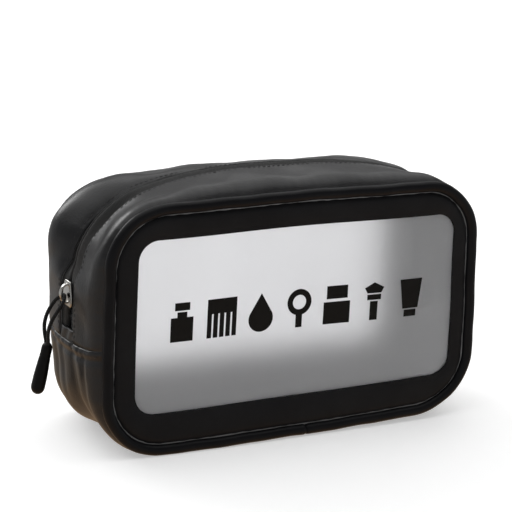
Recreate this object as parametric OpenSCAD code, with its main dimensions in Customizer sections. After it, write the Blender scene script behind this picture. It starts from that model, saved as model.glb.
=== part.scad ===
// Zipped wash bag: two windowed panels joined by a gusset, with a zip along its upper half.
// Frame: X is the width, the front faces -Y, Z is up. The origin is on the base, at its centre.
// The front above the zip ends folds forward about a line along X; every length that crosses
// that fold is cut there into a lower node, on the body, and an upper node, on the flap.

/* [Body] */
// Width over the piping
body_w = 220; // [180:1:270]
// Height over the piping
body_h = 135; // [115:1:170]
// Depth over the piping
body_d = 80; // [66:1:100]
// Radius of the four corners of the front and back
corner_r = 34; // [22:1:41]
// How far the gusset bulges at the middle of its width
crown = 4.5; // [3:0.5:7]
// Thickness of the leather-look sheet
sheet_t = 1.2; // [0.8:0.1:1.6]

/* [Window] */
// Width of the border left of the window, with the piping
border_left = 18; // [13:1:26]
// Width of the border right of the window, with the piping
border_right = 15; // [12:1:24]
// Width of the border below the window, with the piping
border_low = 23; // [15:1:30]
// Width of the border above the window, with the piping
border_high = 19; // [14:1:26]
// Radius of the window's corners
win_r = 11; // [5:1:20]
// Thickness of the frosted film
film_t = 0.6; // [0.4:0.1:1]
// Width of film that is held behind the border
film_lap = 4; // [2:0.5:5]

/* [Window motif] */
// Distance from one picture to the next
motif_pitch = 22.7; // [18:0.1:28]
// Smallest distance from the window's side to a picture's middle
motif_side = 24; // [15:0.5:40]
// Height of each picture
motif_h = 21; // [14:1:26]
// Distance of the pictures' lower edge above the fold
motif_rise = 0.4; // [0.2:0.1:12]
// Thickness of the ink
motif_t = 0.15; // [0.1:0.05:0.3]

/* [Piping] */
// Diameter of the piping
piping_d = 6; // [4:0.5:7]
// Thickness of the piping's cover
cover_t = 0.9; // [0.6:0.1:1.2]
// Width of the binding that hides the inner seam
binding_w = 7; // [5:0.5:9]
// Thickness of the binding
binding_t = 2.2; // [1.5:0.1:3]

/* [Zip] */
// Height of the two zip ends above the base
seam_lift = 56; // [46:1:68]
// Width of each tape
tape_w = 14; // [11.5:0.5:17]
// Half of the slot between the leather strips in which the tapes show
slot_half = 7.6; // [6.3:0.1:9.2]
// Thickness of the tape
tape_t = 0.8; // [0.5:0.1:1]
// Width of one coil
coil_w = 2.4; // [2:0.1:2.9]
// Thickness of the coil
coil_t = 2.2; // [1.6:0.1:2.7]
// Half of the gap between the coils where they are closed
closed_half = 0.15; // [0.1:0.05:0.3]
// Half of the gap between the tapes along the left end, where the slider parts them
parted_half = 1.7; // [1.4:0.1:2.1]
// Height of the tab that covers a zip end
tab_h = 5.5; // [4:0.5:7]

/* [Slider] */
// How far the slider stands above the middle of the zip's straight run on the left end
slider_shift = -1.25; // [-4:0.25:4]
// Length of the slider
slider_l = 14; // [11.5:0.5:17]
// Radius of the slider's corners
slider_r = 3; // [2:0.5:4]
// Thickness of each of the slider's plates
plate_t = 1.4; // [1:0.1:1.7]
// Thickness of the flanges along the slider's sides
flange_w = 0.8; // [0.6:0.1:1]
// Width of the wedge between the plates
wedge_w = 2.6; // [2:0.1:3.1]
// Length of the wedge
wedge_l = 4.5; // [3.5:0.5:5.5]
// Distance of the wedge from the slider's lower end
wedge_lift = 1; // [0.5:0.1:2]
// Width of the bridge that holds the cord
bridge_w = 2.4; // [2:0.1:2.9]
// Length of the bridge
bridge_l = 11; // [9:0.5:12]
// Height of the bridge above the slider's outer plate
bridge_h = 4.1; // [3.9:0.1:5]
// Thickness of the bridge's strip
bridge_t = 1.1; // [0.8:0.1:1.3]

/* [Pull] */
// Diameter of the cord
cord_d = 2; // [1.6:0.1:2.4]
// Diameter of the grip's lower end
grip_d = 8.2; // [6.8:0.1:9.9]
// Diameter of the grip's upper end
grip_top_d = 6.4; // [5.3:0.1:7.7]
// Distance between the centres of the grip's two round ends
grip_run = 21; // [17:0.5:26]
// Lean of the grip away from the bag
grip_lean = 12.5; // [5:0.5:20]

/* [Hidden] */
$fn = 48;

leather = [0.13, 0.13, 0.14];
leather_matt = [0.09, 0.09, 0.095];
piping_black = [0.07, 0.07, 0.075];
film = [0.82, 0.82, 0.83, 0.55];
ink = [0.03, 0.03, 0.03];
tape_grey = [0.2, 0.2, 0.21];
nylon = [0.05, 0.05, 0.05];
nickel = [0.75, 0.75, 0.76];
core_white = [0.85, 0.85, 0.82];

// Clearances
fit_gap = 0.05;      // between pieces that are sewn or pressed together
run_gap = 0.3;       // between the slider and what it runs on
fold_gap = 0.4;      // across the cut at the fold
sew_gap = 0.1;       // between the binding and what it lies against
coil_gap = 0.2;      // between a coil and the slider's flange
cord_gap = 0.1;      // between the cord's ends and the grip

half_w = body_w / 2;
half_d = body_d / 2;
piping_r = piping_d / 2;
piping_y = half_d - piping_r;                 // centre of the piping's section, from the middle
panel_y = piping_y + sheet_t;                 // outer face of a panel, from the middle
// Depth at which the gusset meets the round of the piping, from the middle
gusset_end = piping_y - sqrt(piping_r * piping_r - pow(piping_r - sheet_t, 2)) - fit_gap;
run_top = body_w - 2 * corner_r;
crown_steps = 6;
reach = 400;                                  // larger than the bag, for cutting blocks
corner_top = body_h - corner_r;               // height at which the upper corners start

// The window
win_w = body_w - border_left - border_right;
win_h = body_h - border_low - border_high;
win_shift = (border_left - border_right) / 2;

// The fold runs along the front face at the height of the zip ends
fold_angle = 52;
// Height at which the front film is cut, and the lower edge of the pictures above it
film_cut = seam_lift + piping_r * tan(fold_angle) + fold_gap / 2 / cos(fold_angle);
motif_lift = film_cut + motif_rise;

// Layers of the zip, measured outward from the body's outline at the middle of the gusset
tape_out = crown - sheet_t - fit_gap;
tape_in = tape_out - tape_t;
coil_in = tape_in - coil_t;
plate_out_n = tape_out + run_gap;             // inner face of the slider's outer plate
plate_top_n = plate_out_n + plate_t;
plate_in_n = coil_in - run_gap - plate_t;     // inner face of the slider's inner plate
slider_w = 2 * (parted_half + run_gap + coil_w + coil_gap + flange_w);
slider_lift = (seam_lift + tab_h + corner_top) / 2 + slider_shift;

// Cord: from the grip's top, up, under the bridge and back, as points of the right-hand half
cord_half = [[-125.4, 1.6, 54.7], [-125.9, 2.4, 59.5], [-125.6, 3.4, 64], [-124, 4.2, 68.5],
             [-121.6, 4.6, 72.5], [-119, 4.2, 76], [-117.3, 2.6, 78.2], [-116.7, 1.2, 79]];
cord_top = [-116.5, 0, 79.2];
cord_route = concat([for (p = cord_half) [p.x, -p.y, p.z]], [cord_top],
                    [for (i = [len(cord_half) - 1 : -1 : 0]) cord_half[i]]);
cord_sides = 8;
// Centre of the grip's upper round end
grip_top = [cord_half[0].x, 0, cord_half[0].z - cord_gap - grip_top_d / 2];

// ---- outlines and sweeps ------------------------------------------------------------------

function bulge(y) = crown * (1 - pow(y / gusset_end, 2));
function steps(a, b, n) = [for (i = [0:n]) a + (b - a) * i / n];

// Rectangle with round corners, standing on y = 0
module round_rect(w, h, r) {
    translate([-w / 2 + r, 0]) square([w - 2 * r, h]);
    translate([-w / 2, r]) square([w, h - 2 * r]);
    for (x = [-w / 2 + r, w / 2 - r], y = [r, h - r]) translate([x, y]) circle(r);
}

// The body's outline, drawn in by inset
module outline(inset) {
    translate([0, inset]) round_rect(body_w - 2 * inset, body_h - 2 * inset, corner_r - inset);
}

// A flat sheet seen from the front, from y0 to y0 + t
module upright(y0, t) {
    translate([0, y0 + t, 0]) rotate([90, 0, 0]) linear_extrude(t) children();
}

// Sweeps take a section with its x outward from the outline and its y along the depth
module corner(x, z, start) {
    translate([x, 0, z]) rotate([90, 0, 0]) rotate([0, 0, start])
        rotate_extrude(angle = 90, $fn = 96) translate([corner_r, 0]) mirror([0, 1]) children();
}

module along_left_end(from, to) {
    translate([-half_w, 0, from]) mirror([1, 0, 0]) linear_extrude(to - from) children();
}

module along_right_end(from, to) {
    translate([half_w, 0, from]) linear_extrude(to - from) children();
}

module along_ends(from, to) {
    along_left_end(from, to) children();
    along_right_end(from, to) children();
}

module along_top() {
    corner(-half_w + corner_r, corner_top, 90) children();
    translate([half_w - corner_r, 0, body_h]) rotate([0, -90, 0])
        linear_extrude(run_top) children();
    corner(half_w - corner_r, corner_top, 0) children();
}

module along_bottom() {
    corner(-half_w + corner_r, corner_r, 180) children();
    translate([-half_w + corner_r, 0, 0]) rotate([0, 90, 0]) linear_extrude(run_top) children();
    corner(half_w - corner_r, corner_r, 270) children();
}

module along_ring() {
    along_bottom() children();
    along_ends(corner_r, corner_top) children();
    along_top() children();
}

module along_zip() {
    along_ends(seam_lift, corner_top) children();
    along_top() children();
}

// Section of a strip that follows the bulge: outer face drawn in by inset, from y = a to y = b
module strip_section(inset, t, a, b) {
    ys = steps(a, b, crown_steps);
    polygon(concat([for (y = ys) [bulge(y) - inset, y]],
                   [for (i = [crown_steps : -1 : 0]) [bulge(ys[i]) - inset - t, ys[i]]]));
}

// The half of space above or below the fold, with the cut's clearance left out
module fold_half(upper) {
    translate([0, -half_d, seam_lift]) rotate([fold_angle, 0, 0])
        translate([-reach / 2, -reach / 2, upper ? fold_gap / 2 : -reach - fold_gap / 2])
            cube([reach, reach, reach]);
}

module above_fold() { intersection() { children(); fold_half(true); } }
module below_fold() { intersection() { children(); fold_half(false); } }

// ---- whole lengths, before the fold cuts them ----------------------------------------------

module window_opening() {
    translate([win_shift, border_low]) round_rect(win_w, win_h, win_r);
}

module panel_face() {
    difference() {
        outline(piping_d + fit_gap);
        window_opening();
    }
}

module film_face() {
    translate([win_shift, border_low - film_lap])
        round_rect(win_w + 2 * film_lap, win_h + 2 * film_lap, win_r + film_lap);
}

// side is 1 at the back and -1 at the front
module piping_cover(side) {
    along_ring() translate([-piping_r, side * piping_y]) difference() {
        circle(piping_r);
        circle(piping_r - cover_t);
    }
}

module piping_core(side) {
    along_ring() translate([-piping_r, side * piping_y])
        circle(piping_r - cover_t - fit_gap);
}

module binding(side) {
    near = half_d - piping_d - sew_gap;
    outer = -sheet_t - sew_gap;
    along_ring() translate([outer - binding_t, side > 0 ? near - binding_w : -near])
        square([binding_t, binding_w]);
}

module strip(side) {
    along_zip() strip_section(0, sheet_t, side * slot_half, side * gusset_end);
}

// The tape's section from y = near outward
module tape_section(side, near) {
    strip_section(crown - tape_out, tape_t, side * near, side * tape_w);
}

module tape(side) {
    along_left_end(seam_lift, corner_top) tape_section(side, parted_half);
    along_top() tape_section(side, closed_half);
    along_right_end(seam_lift, corner_top) tape_section(side, closed_half);
}

module coil_section(side, near) {
    translate([coil_in, side > 0 ? near : -near - coil_w]) square([coil_t - sew_gap, coil_w]);
}

module coil(side) {
    along_left_end(seam_lift, corner_top) coil_section(side, parted_half + run_gap);
    along_top() coil_section(side, closed_half);
    along_right_end(seam_lift, corner_top) coil_section(side, closed_half);
}

// The filled shape of the gusset, drawn in by inset, with ends that run past by over
module gusset_block(inset, over) {
    ys = steps(-gusset_end, gusset_end, 2 * crown_steps);
    along_ring() polygon(concat([[-corner_r, -gusset_end - over], [-inset, -gusset_end - over]],
                                [for (y = ys) [bulge(y) - inset, y]],
                                [[-inset, gusset_end + over], [-corner_r, gusset_end + over]]));
    translate([-half_w + corner_r, -gusset_end - over, corner_r])
        cube([run_top, 2 * (gusset_end + over), body_h - 2 * corner_r]);
}

module slab(z0, z1) {
    translate([-reach / 2, -reach / 2, z0]) cube([reach, reach, z1 - z0]);
}

// ---- back half -------------------------------------------------------------------------------

module back_panel() { color(leather_matt) upright(piping_y, sheet_t) panel_face(); }
module back_window() { color(film) upright(piping_y - film_t, film_t) film_face(); }
module back_piping() { color(piping_black) piping_cover(1); }
module back_piping_core() { color(core_white) piping_core(1); }
module back_binding() { color(piping_black) binding(1); }
module back_strip() { color(leather) strip(1); }
module back_tape() { color(tape_grey) tape(1); }
module back_coil() { color(nylon) coil(1); }

// Bottom and lower ends in one length, flat where the bag stands
module lower_gusset() {
    color(leather) difference() {
        intersection() {
            gusset_block(0, 0);
            slab(0, seam_lift);
        }
        intersection() {
            gusset_block(sheet_t, 1);
            slab(sheet_t, seam_lift + 1);
        }
    }
}

module zip_end_tabs() {
    tab_half = slot_half - run_gap;
    color(leather) along_ends(seam_lift, seam_lift + tab_h)
        translate([tape_out, -tab_half]) square([sheet_t, 2 * tab_half]);
}

// ---- front, below the fold -------------------------------------------------------------------

module front_panel() { upright(-panel_y, sheet_t) panel_face(); }
module front_window() { upright(-piping_y, film_t) film_face(); }

module front_panel_lower() { color(leather_matt) below_fold() front_panel(); }
module front_window_lower() { color(film) below_fold() front_window(); }
module front_piping_lower() { color(piping_black) below_fold() piping_cover(-1); }
module front_piping_core_lower() { color(core_white) below_fold() piping_core(-1); }
module front_binding_lower() { color(piping_black) below_fold() binding(-1); }
module front_strip_lower() { color(leather) below_fold() strip(-1); }
module front_tape_lower() { color(tape_grey) below_fold() tape(-1); }
module front_coil_lower() { color(nylon) below_fold() coil(-1); }

// ---- front, above the fold -------------------------------------------------------------------

module front_panel_upper() { color(leather_matt) above_fold() front_panel(); }
module front_window_upper() { color(film) above_fold() front_window(); }
module front_piping_upper() { color(piping_black) above_fold() piping_cover(-1); }
module front_piping_core_upper() { color(core_white) above_fold() piping_core(-1); }
module front_binding_upper() { color(piping_black) above_fold() binding(-1); }
module front_strip_upper() { color(leather) above_fold() strip(-1); }
module front_tape_upper() { color(tape_grey) above_fold() tape(-1); }
module front_coil_upper() { color(nylon) above_fold() coil(-1); }

// Plain pictures of toiletries, each drawn in a box 1 wide and 1 high
module picture_bottle() {
    translate([-0.3, 0]) square([0.6, 0.62]);
    translate([-0.13, 0.6]) square([0.26, 0.16]);
    translate([-0.2, 0.8]) square([0.4, 0.2]);
}

module picture_comb() {
    translate([-0.4, 0.62]) square([0.8, 0.38]);
    for (x = [-0.4, -0.23, -0.06, 0.11, 0.28]) translate([x, 0]) square([0.12, 0.64]);
}

module picture_drop() {
    translate([0, 0.34]) circle(0.34);
    polygon([[-0.31, 0.48], [0, 1], [0.31, 0.48]]);
}

module picture_mirror() {
    translate([0, 0.66]) difference() {
        circle(0.34);
        circle(0.19);
    }
    translate([-0.09, 0]) square([0.18, 0.36]);
}

module picture_jar() {
    translate([-0.38, 0]) square([0.76, 0.58]);
    translate([-0.3, 0.66]) square([0.6, 0.34]);
}

module picture_brush() {
    translate([-0.11, 0]) square([0.22, 0.5]);
    translate([-0.2, 0.54]) square([0.4, 0.14]);
    polygon([[-0.2, 0.72], [-0.28, 0.86], [0, 1], [0.28, 0.86], [0.2, 0.72]]);
}

module picture_tube() {
    translate([-0.17, 0]) square([0.34, 0.18]);
    polygon([[-0.22, 0.22], [0.22, 0.22], [0.32, 1], [-0.32, 1]]);
}

module picture(index) {
    if (index == 0) picture_bottle();
    if (index == 1) picture_comb();
    if (index == 2) picture_drop();
    if (index == 3) picture_mirror();
    if (index == 4) picture_jar();
    if (index == 5) picture_brush();
    if (index == 6) picture_tube();
}

// As many of the seven pictures as the window has room for, in a centred row
module window_motif() {
    count = min(7, 1 + floor((win_w - 2 * motif_side) / motif_pitch));
    color(ink) upright(-piping_y - motif_t, motif_t)
        for (i = [0 : count - 1])
            translate([win_shift + motif_pitch * (i - (count - 1) / 2), motif_lift])
                scale(motif_h) picture(i);
}

// ---- slider and pull ---------------------------------------------------------------------------

// A plate on the left end, from n outward by t; the drawing's x runs along +Y and its y along +Z
module end_plate(n, t) {
    translate([-half_w - n - t, 0, slider_lift]) rotate([90, 0, 90])
        linear_extrude(t) children();
}

module slider_plan() {
    translate([0, -slider_l / 2]) round_rect(slider_w, slider_l, slider_r);
}

module slider_body() {
    inner_face = plate_in_n + plate_t;
    flange_h = tape_in - run_gap - inner_face;
    color(nickel) {
        end_plate(plate_out_n, plate_t) slider_plan();
        end_plate(plate_in_n, plate_t) slider_plan();
        end_plate(inner_face, flange_h) intersection() {
            slider_plan();
            for (side = [-1, 1])
                translate([side * (slider_w / 2 - flange_w / 2) - flange_w / 2, -slider_l / 2])
                    square([flange_w, slider_l]);
        }
        end_plate(inner_face, plate_out_n - inner_face)
            translate([-wedge_w / 2, -slider_l / 2 + wedge_lift]) square([wedge_w, wedge_l]);
    }
}

// Corners of the bridge's arch, drawn in by inset
function arch(inset) =
    [for (a = [0 : 15 : 180]) [(bridge_h - inset) * sin(a), (bridge_l / 2 - inset) * cos(a)]];

module slider_bridge() {
    color(nickel) translate([-half_w - plate_top_n, 0, slider_lift]) mirror([1, 0, 0])
        rotate([90, 0, 0]) linear_extrude(bridge_w, center = true)
            polygon(concat(arch(0), [for (i = [12 : -1 : 0]) arch(bridge_t)[i]]));
}

function direction(i) =
    let (last = len(cord_route) - 1,
         d = cord_route[min(i + 1, last)] - cord_route[max(i - 1, 0)])
    d / norm(d);

// One ring of the cord, square to its run
function cord_ring(i) =
    let (t = direction(i),
         side = cross(t, [1, 0, 0]),
         u = side / norm(side),
         v = cross(t, u))
    [for (k = [0 : cord_sides - 1])
        let (a = 360 * k / cord_sides)
        cord_route[i] + cord_d / 2 * (cos(a) * u + sin(a) * v)];

module pull_cord() {
    rings = len(cord_route);
    points = [for (i = [0 : rings - 1]) each cord_ring(i)];
    walls = [for (i = [0 : rings - 2], k = [0 : cord_sides - 1])
        let (j = (k + 1) % cord_sides, a = i * cord_sides, b = a + cord_sides)
        [a + k, b + k, b + j, a + j]];
    first = [for (k = [0 : cord_sides - 1]) k];
    last = [for (k = [cord_sides - 1 : -1 : 0]) (rings - 1) * cord_sides + k];
    color(nylon) polyhedron(points, concat([first, last], walls));
}

module pull_grip() {
    top_r = grip_top_d / 2;
    end_r = grip_d / 2;
    color(piping_black) translate(grip_top) rotate([0, grip_lean, 0]) {
        sphere(top_r);
        translate([0, 0, -grip_run]) cylinder(h = grip_run, r1 = end_r, r2 = top_r);
        translate([0, 0, -grip_run]) sphere(end_r);
    }
}

back_panel();
back_window();
back_piping();
back_piping_core();
back_binding();
back_strip();
back_tape();
back_coil();
lower_gusset();
zip_end_tabs();
front_panel_lower();
front_window_lower();
front_piping_lower();
front_piping_core_lower();
front_binding_lower();
front_strip_lower();
front_tape_lower();
front_coil_lower();
front_panel_upper();
front_window_upper();
window_motif();
front_piping_upper();
front_piping_core_upper();
front_binding_upper();
front_strip_upper();
front_tape_upper();
front_coil_upper();
slider_body();
slider_bridge();
pull_cord();
pull_grip();
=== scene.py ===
"""Looks of a zipped wash bag: soft leather-look shell, frosted windows, piping, coil zip and cord pull.

Lengths are in metres. Every soft piece is lofted in clean coordinates and then passed through
soften(), which gives the whole bag one common sag, so neighbouring pieces stay together.
"""
import math
import random

import bmesh
import bpy
import numpy as np
from mathutils import Matrix, Vector


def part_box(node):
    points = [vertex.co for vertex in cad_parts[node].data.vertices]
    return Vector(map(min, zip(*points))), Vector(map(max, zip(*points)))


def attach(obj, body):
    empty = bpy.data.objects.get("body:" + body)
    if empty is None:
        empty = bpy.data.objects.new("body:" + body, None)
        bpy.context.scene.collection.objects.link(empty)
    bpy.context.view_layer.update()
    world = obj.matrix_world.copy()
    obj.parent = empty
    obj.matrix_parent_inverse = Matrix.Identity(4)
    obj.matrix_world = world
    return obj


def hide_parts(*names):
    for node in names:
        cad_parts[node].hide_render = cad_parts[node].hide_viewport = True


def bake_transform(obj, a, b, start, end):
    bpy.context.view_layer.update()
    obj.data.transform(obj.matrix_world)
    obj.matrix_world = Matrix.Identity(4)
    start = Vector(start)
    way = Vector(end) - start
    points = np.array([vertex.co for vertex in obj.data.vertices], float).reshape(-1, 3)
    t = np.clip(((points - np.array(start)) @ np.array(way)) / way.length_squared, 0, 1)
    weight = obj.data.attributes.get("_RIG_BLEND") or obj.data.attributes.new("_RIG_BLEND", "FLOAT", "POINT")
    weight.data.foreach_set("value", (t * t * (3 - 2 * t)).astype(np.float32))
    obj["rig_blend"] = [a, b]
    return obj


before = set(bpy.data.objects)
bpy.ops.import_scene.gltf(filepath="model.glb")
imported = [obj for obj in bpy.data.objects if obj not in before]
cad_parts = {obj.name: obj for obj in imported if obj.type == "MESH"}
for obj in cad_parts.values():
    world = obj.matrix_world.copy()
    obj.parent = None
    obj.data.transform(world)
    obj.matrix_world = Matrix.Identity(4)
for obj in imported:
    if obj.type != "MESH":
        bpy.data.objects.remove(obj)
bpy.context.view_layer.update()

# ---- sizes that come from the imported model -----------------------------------

piping_low, piping_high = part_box("back_piping")
core_low, core_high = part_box("back_piping_core")
gusset_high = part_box("lower_gusset")[1]
panel_low, panel_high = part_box("back_panel")
film_low, film_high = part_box("back_window")
slider_low, slider_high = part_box("slider_body")
bridge_low, bridge_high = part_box("slider_bridge")
slider_mid = (slider_low + slider_high) / 2

HALF_W = piping_high.x
HEIGHT = piping_high.z
HALF_D = piping_high.y
PIPING_R = (piping_high.y - piping_low.y) / 2
PIPING_Y = HALF_D - PIPING_R                    # middle of the back piping
CORE_R = (core_high.y - core_low.y) / 2
SEAM_Z = gusset_high.z                          # seam between the upper strips and lower gusset
CROWN = gusset_high.x - HALF_W                  # how far the gusset bulges
SHEET_T = panel_high.y - panel_low.y
FILM_T = film_high.y - film_low.y
GUSSET_END = gusset_high.y                      # where the gusset meets the piping
SLOT_HALF = -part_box("front_strip_upper")[1].y   # half of the gap between the strips
TAPE_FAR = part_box("back_tape")[1].y             # far edge of a zip tape, under its strip

# ---- sizes of the bag's own detail -------------------------------------------

CORNER_R = 0.034                # corners of the front and back
FILM_LAP = 0.004                # film held behind the border
WINDOW_R = 0.011                # corners of the window
CORD_D = 0.002
EDGE_R = SHEET_T * 0.6          # a folded leather edge
TUCK = 0.0025                   # how far the strips run under the lower gusset
TAPE_SINK = 0.0015              # tape below the leather's face
TAPE_T = 0.0007
GROOVE = 0.0020                 # depth of the leather's edge beside the piping
STRIP_RUN = 0.36                # rough length of an upper strip
LOWER_RUN = 0.29                # rough length of the lower gusset

# Lengths of the outline's stretches: half the base, a corner, an end's straight part
RUN = HALF_W - CORNER_R
ARC = math.pi * CORNER_R / 2
SIDE = HEIGHT - 2 * CORNER_R
PERIMETER = 4 * RUN + 4 * ARC + 2 * SIDE


# ---- the outline and the bag's common softness -------------------------------

def smooth(t):
    """0 to 1 with soft ends."""
    t = np.clip(t, 0.0, 1.0)
    return t * t * (3 - 2 * t)


def bell(x, middle, width):
    """1 at the middle, fading to 0 on both sides."""
    return np.exp(-((x - middle) / width) ** 2)


def outline(s, out=0.0):
    """Point (x, z) and outward normal at length s along the outline, from the base's middle
    towards +X, up, over the top and down the left end; out is the distance outside it."""
    s = np.mod(s, PERIMETER)
    marks = np.cumsum([RUN, ARC, SIDE, ARC, 2 * RUN, ARC, SIDE, ARC])
    turn = sum(np.clip((s - marks[k]) / ARC, 0, 1) for k in (0, 2, 4, 6))
    angle = np.radians(-90 + 90 * turn)
    cx = (np.clip(s, 0, RUN) - np.clip(s - marks[3], 0, 2 * RUN) + np.clip(s - marks[7], 0, RUN))
    cz = CORNER_R + np.clip(s - marks[1], 0, SIDE) - np.clip(s - marks[5], 0, SIDE)
    nx, nz = np.cos(angle), np.sin(angle)
    return cx + (CORNER_R + out) * nx, cz + (CORNER_R + out) * nz, nx, nz


def right_end_s(z):
    """Length along the outline at height z on the straight part of the right end."""
    return RUN + ARC + (z - CORNER_R)


def left_end_s(z):
    """The same on the left end."""
    return PERIMETER - right_end_s(z)


def ripple(seed, *waves):
    """A smooth uneven wave of s made from sines of the given wavelengths, about -1 to 1."""
    draw = random.Random(seed)
    parts = [(w * draw.uniform(0.85, 1.15), draw.uniform(0, 6.283), draw.uniform(0.6, 1.0))
             for w in waves]
    total = sum(p[2] for p in parts)
    return lambda s: sum(a * np.sin(6.283 * s / w + f) for w, f, a in parts) / total


def soften(p):
    """Moves points of the clean shape to where the soft bag lies: the back sits lower, leans in
    at its left end, and the front spreads a little where the bag stands."""
    x, y, z = p[..., 0], p[..., 1], p[..., 2]
    moved = np.array(p, float)
    # How far a point belongs to each region, from 0 to 1
    top = smooth((z - 0.098) / 0.036)
    low = 1 - smooth((z - 0.004) / 0.05)
    back, front = smooth(y / HALF_D), smooth((0.012 - y) / 0.04)
    left, right = smooth((-x - 0.05) / 0.06), smooth((x - 0.06) / 0.05)
    right_corner = bell(x, 0.088, 0.018) * smooth((z - 0.1) / 0.03)
    # The back's upper edge sinks, and so does the right top corner
    moved[..., 2] -= 0.0042 * top * back + 0.0034 * right_corner * smooth((y + 0.03) / 0.05)
    # The front's lower edge lifts to the right, and bulges forward in the middle
    moved[..., 2] += 0.0032 * smooth(x / 0.1) * front * low
    moved[..., 1] -= 0.0030 * (1 - (x / HALF_W) ** 2) * front * low
    # The back's left end leans in, most in its lower half, and the front's right end spreads
    lean = 0.0014 + 0.0030 * (1 - smooth((z - 0.07) / 0.035)) + 0.0004 * low
    moved[..., 0] += lean * back * left
    moved[..., 0] += 0.0016 * right * front * (1 - smooth((z - 0.05) / 0.05))
    # Slight unevenness everywhere but round the slider
    near_slider = bell(y, 0, 0.018) * smooth((-x - 0.085) / 0.02)
    free = 1 - near_slider
    moved[..., 1] += free * 0.0007 * np.sin(31 * x + 22 * z + 0.7) * np.cos(17 * z - 9 * x)
    moved[..., 2] += free * 0.0004 * np.sin(43 * x + 11 * y + 2.1)
    return moved


# ---- mesh building -----------------------------------------------------------

def in_scene(name, data):
    """A new object in the scene, for a mesh, camera or lamp."""
    obj = bpy.data.objects.new(name, data)
    bpy.context.scene.collection.objects.link(obj)
    return obj


def unit(rows):
    """Rows of directions, each brought to length 1."""
    return rows / np.linalg.norm(rows, axis=1)[:, None]


def new_object(name, verts, faces, materials=(), face_materials=None):
    """An object with a mesh from points and faces."""
    mesh = bpy.data.meshes.new(name)
    mesh.from_pydata([tuple(v) for v in np.asarray(verts, float)], [], faces)
    for m in materials:
        mesh.materials.append(m)
    if face_materials is not None:
        mesh.polygons.foreach_set("material_index", face_materials)
    return in_scene(name, mesh)


def tidy_mesh(obj, merge=1e-6):
    """Merges doubles, turns all faces outward and shades smooth."""
    bm = bmesh.new()
    bm.from_mesh(obj.data)
    bmesh.ops.remove_doubles(bm, verts=bm.verts, dist=merge)
    bmesh.ops.dissolve_degenerate(bm, edges=bm.edges, dist=1e-7)
    bmesh.ops.recalc_face_normals(bm, faces=bm.faces)
    bm.to_mesh(obj.data)
    bm.free()
    obj.data.shade_smooth()
    return obj


def loft(name, sections, ring=True, closed=False, materials=(), inner=None, uv=None):
    """A surface through sections, an array of shape (along, across, 3). ring joins each
    section's ends, closed joins the last section to the first, and open ends get caps.
    inner gives the range of section columns that take the second material. uv is a pair of
    arrays, the lengths along and across."""
    n, m = sections.shape[:2]
    faces, kinds, corners = [], [], []
    for i in range(n if closed else n - 1):
        for j in range(m if ring else m - 1):
            a, b = (i + 1) % n, (j + 1) % m
            faces.append((i * m + j, a * m + j, a * m + b, i * m + b))
            kinds.append(1 if inner and inner[0] <= j < inner[1] else 0)
            corners.append(((i, j), (i + 1, j), (i + 1, j + 1), (i, j + 1)))
    if ring and not closed:
        faces += [tuple(range(m)), tuple(reversed(range((n - 1) * m, n * m)))]
        kinds += [0, 0]
        corners += [None, None]
    obj = new_object(name, sections.reshape(-1, 3), faces, materials, kinds)
    if uv is not None:
        layer = obj.data.uv_layers.new(name="cloth")
        along = np.append(uv[0], 2 * uv[0][-1] - uv[0][-2])
        across = np.append(uv[1], 2 * uv[1][-1] - uv[1][-2])
        flat = []
        for face, four in zip(faces, corners):
            if four is None:
                flat += [0.0, 0.0] * len(face)
            else:
                for i, j in four:
                    flat += [along[min(i, n)], across[min(j, m)]]
        layer.data.foreach_set("uv", flat)
    return tidy_mesh(obj)


def lengths(points):
    """Running length along a row of points."""
    steps = np.linalg.norm(np.diff(points, axis=0), axis=1)
    return np.concatenate([[0.0], np.cumsum(steps)])


def along_outline(s, out, y):
    """3-D points of arrays s, out and y that broadcast together."""
    s, out, y = np.broadcast_arrays(s, out, y)
    x, z, _, _ = outline(s, out)
    return np.stack([x, y, z], axis=-1)


def arc(cx, cy, r, a0, a1, n):
    """Points of an arc, as (x, y) rows, angles in degrees."""
    a = np.radians(np.linspace(a0, a1, n))
    return np.stack([cx + r * np.cos(a), cy + r * np.sin(a)], axis=1)


# ---- camera ------------------------------------------------------------------

CAMERA_AZIMUTH, CAMERA_RISE, CAMERA_ROLL = -27.9, 15.9, 2.7     # degrees
CAMERA_AIM = (-0.0055, 0.0, 0.0902)
CAMERA_DISTANCE, CAMERA_LENS = 1.2, 157.0                       # metres, millimetres


def make_camera():
    """Camera that looks at the front and the left end, a little from above."""
    turn, rise, roll = (math.radians(a) for a in (CAMERA_AZIMUTH, CAMERA_RISE, CAMERA_ROLL))
    back = Vector((math.sin(turn) * math.cos(rise), -math.cos(turn) * math.cos(rise),
                   math.sin(rise)))
    right = Vector((math.cos(turn), math.sin(turn), 0))
    up = back.cross(right)
    side = math.cos(roll) * right + math.sin(roll) * up
    top = -math.sin(roll) * right + math.cos(roll) * up
    data = bpy.data.cameras.new("camera")
    data.lens, data.sensor_width = CAMERA_LENS, 36.0
    data.clip_start, data.clip_end = 0.05, 30.0
    camera = in_scene("camera", data)
    turned = Matrix((side, top, back)).transposed().to_4x4()
    camera.matrix_world = Matrix.Translation(Vector(CAMERA_AIM) + CAMERA_DISTANCE * back) @ turned
    bpy.context.scene.camera = camera


make_camera()

# ---- cord and grip -----------------------------------------------------------

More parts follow.
